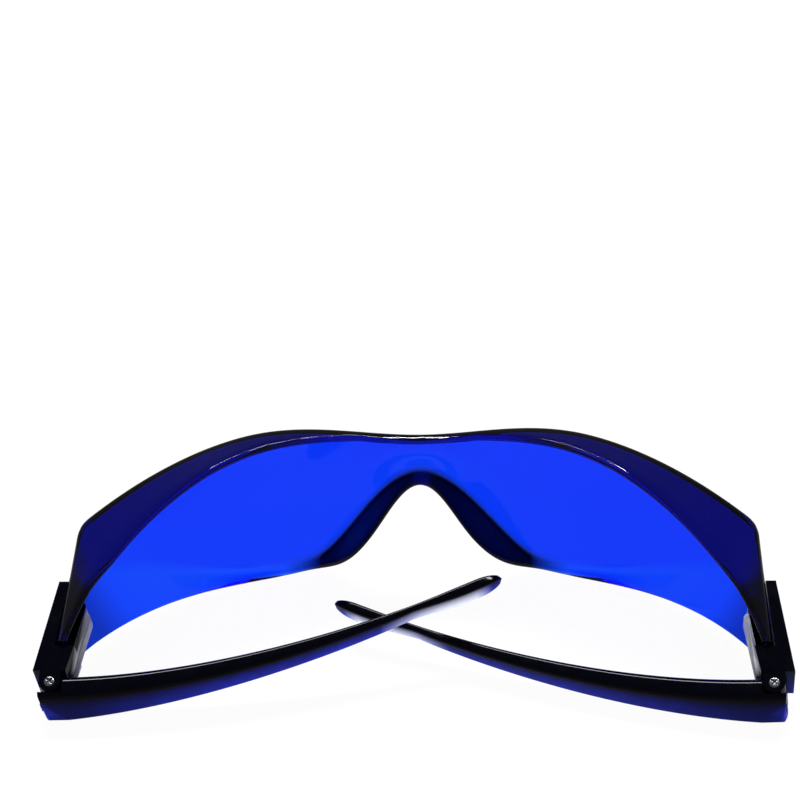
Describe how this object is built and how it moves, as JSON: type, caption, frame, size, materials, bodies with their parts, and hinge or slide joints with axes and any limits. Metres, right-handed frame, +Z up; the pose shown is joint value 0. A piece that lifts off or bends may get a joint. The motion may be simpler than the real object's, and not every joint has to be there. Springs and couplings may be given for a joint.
{
  "type": "golf ball finder glasses",
  "caption": "Wrap-round glasses moulded from clear deep-blue plastic, lying with both temples folded and crossed, with dark end pieces and small silver hinge screws.",
  "frame": {"origin": "middle of the glasses' footprint, on the table they lie on with both temples folded", "axes": "+X across the face towards the wearer's right temple as drawn, +Y from the hinges towards the lens, +Z up from the table"},
  "size_m": [0.1532, 0.0545, 0.04],
  "materials": {
    "blue_lens_plastic": "clear, glossy, blue all the way through",
    "deep_blue_plastic": "glossy, so deep a blue that it looks black where it is thick",
    "screw_steel": "bright plated"
  },
  "bodies": {
    "front": {"front_shield": "blue_lens_plastic", "left_end_piece": "deep_blue_plastic", "right_end_piece": "deep_blue_plastic", "left_hinge_screw": "screw_steel", "right_hinge_screw": "screw_steel"},
    "left_arm": {"left_temple": "deep_blue_plastic"},
    "right_arm": {"right_temple": "deep_blue_plastic"}
  },
  "joints": [
    {"name": "left_fold", "type": "hinge", "parent": "front", "child": "left_arm", "pos_m": [-0.0728, -0.02268, 0.00572], "axis": [0.0279, 0.3699, -0.9287], "range_deg": [0, 90]},
    {"name": "right_fold", "type": "hinge", "parent": "front", "child": "right_arm", "pos_m": [0.0728, -0.02268, 0.00572], "axis": [-0.0872, -0.3686, 0.9255], "range_deg": [0, 90]}
  ]
}
